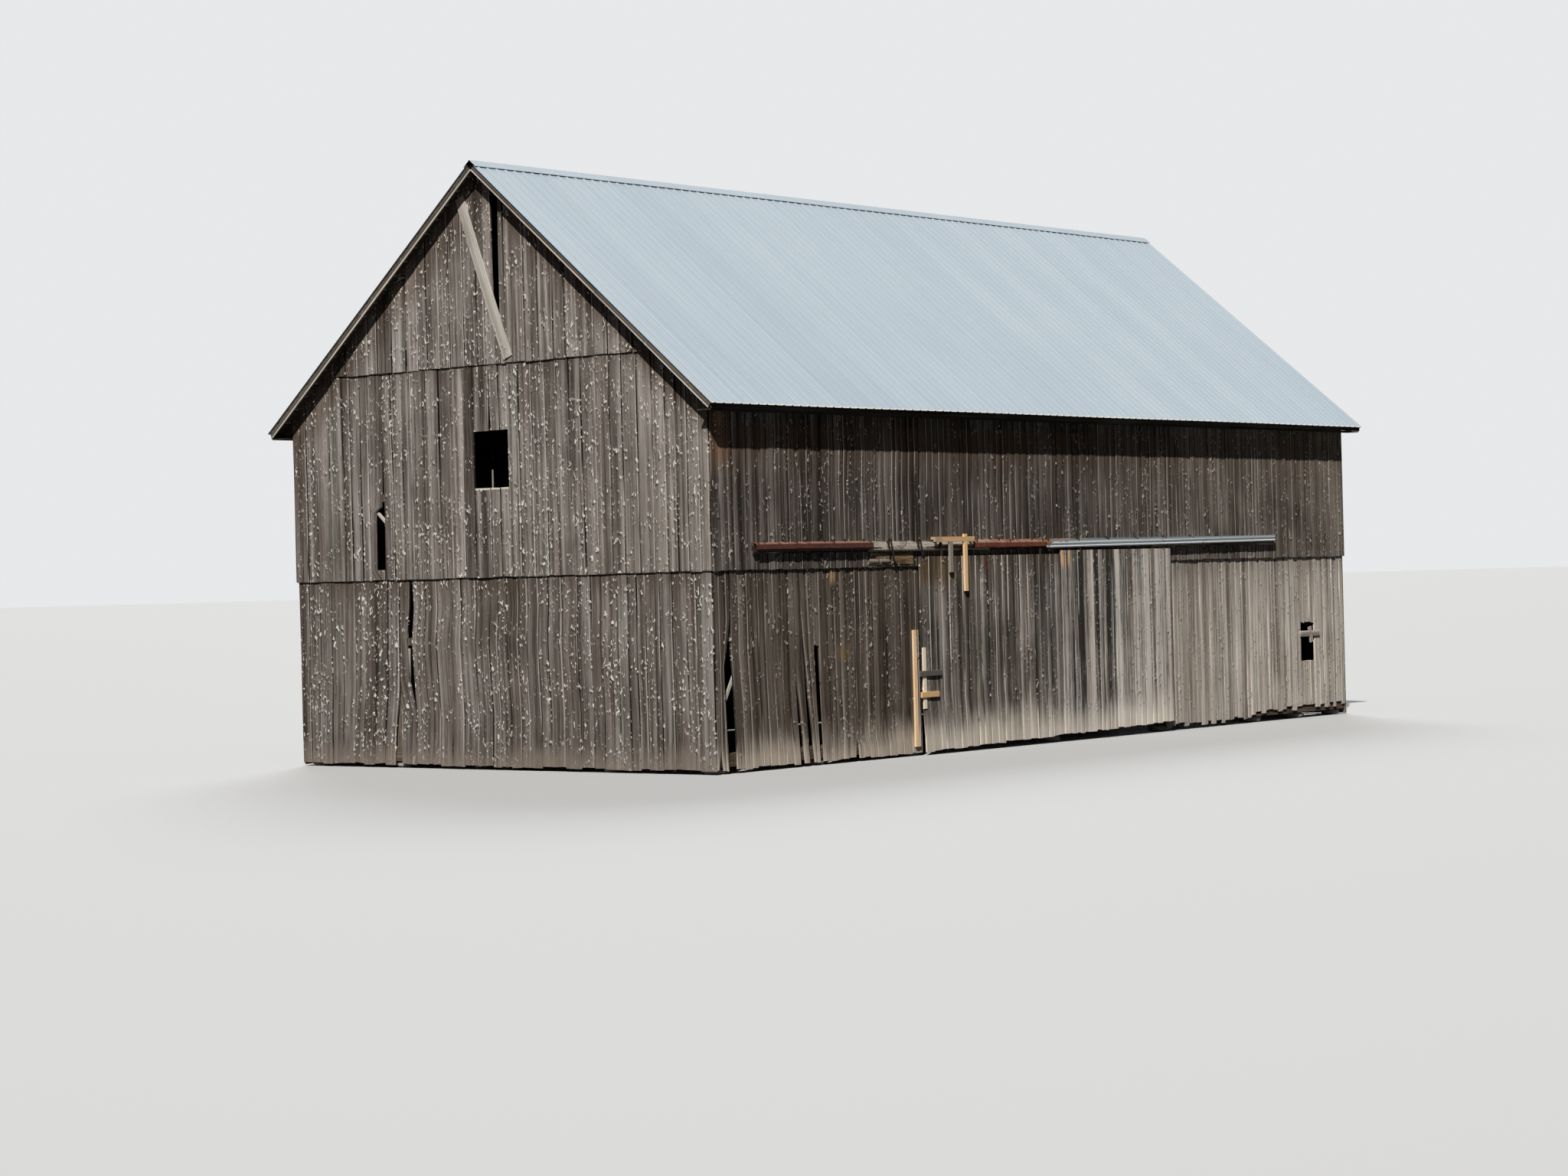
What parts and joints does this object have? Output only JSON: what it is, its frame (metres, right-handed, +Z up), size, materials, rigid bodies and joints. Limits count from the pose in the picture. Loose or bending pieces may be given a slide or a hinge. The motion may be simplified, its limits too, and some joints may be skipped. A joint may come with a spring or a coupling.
{
  "type": "timber-framed hay barn",
  "caption": "Weathered timber hay barn: a post and beam frame on field stones, upright board siding, ribbed steel gable roof, and a pair of wide doors that slide apart on a rail.",
  "frame": {"origin": "centre of the barn's bounding box on the ground", "axes": "+Z up, +X along the ridge, the long wall with the sliding doors faces -Y, and the gable with the hay window and the loose board faces -X"},
  "size_m": [19.474, 9.8462, 9.6845],
  "materials": {
    "field_stone": "rough, lichened field stone",
    "frame_timber": "hewn and sawn timber, dark with age",
    "roof_boards": "rough-sawn boards, dry and brown",
    "roof_steel": "ribbed sheet, pale blue-grey, satin",
    "rake_boards": "weathered trim board, traces of old whitewash",
    "front_siding": "unpainted upright boards, brown-grey",
    "gable_siding": "unpainted upright boards, silver-grey with pale flecks",
    "pale_siding": "bleached, ragged boards",
    "tan_lumber": "older sawn lumber, tan",
    "new_lumber": "newly sawn lumber, pale",
    "rusted_steel": "rusted through to brown",
    "zinc_steel": "zinc-coated sheet, blue-grey, dull",
    "door_boards": "unpainted upright boards, paler at the foot"
  },
  "bodies": {
    "root": {"foundation_stones": "field_stone", "side_sills": "frame_timber", "gable_sills": "frame_timber", "wall_posts": "frame_timber", "inner_posts": "frame_timber", "tie_beams": "frame_timber", "plates": "frame_timber", "knee_braces": "frame_timber", "wall_girts": "frame_timber", "door_headers": "frame_timber", "front_rafters": "frame_timber", "back_rafters": "frame_timber", "front_roof_boards": "roof_boards", "back_roof_boards": "roof_boards", "front_roof_sheets": "roof_steel", "back_roof_sheets": "roof_steel", "ridge_cap": "roof_steel", "rake_boards": "rake_boards", "front_wall_left": "front_siding", "front_wall_right": "pale_siding", "front_wall_upper": "front_siding", "back_wall_lower": "front_siding", "back_wall_upper": "front_siding", "left_gable_lower": "gable_siding", "left_gable_middle": "gable_siding", "left_gable_top": "gable_siding", "right_gable_lower": "gable_siding", "right_gable_middle": "gable_siding", "right_gable_top": "gable_siding", "loose_gable_board": "pale_siding", "broken_slats": "pale_siding", "track_board": "tan_lumber", "track_rail": "rusted_steel", "track_brackets": "rusted_steel", "rust_hoods": "rusted_steel", "zinc_hood": "zinc_steel", "track_patch": "new_lumber", "jamb_strip": "tan_lumber"},
    "left_door": {"left_door_leaf": "door_boards", "left_door_ledges": "tan_lumber", "left_door_hangers": "rusted_steel", "left_door_pull": "new_lumber"},
    "right_door": {"right_door_leaf": "door_boards", "right_door_ledges": "tan_lumber", "right_door_hangers": "rusted_steel"}
  },
  "joints": [
    {"name": "left_door_slide", "type": "slide", "parent": "root", "child": "left_door", "axis": [-1, 0, 0], "range_m": [0, 3.9]},
    {"name": "right_door_slide", "type": "slide", "parent": "root", "child": "right_door", "axis": [1, 0, 0], "range_m": [0, 3.6]}
  ]
}
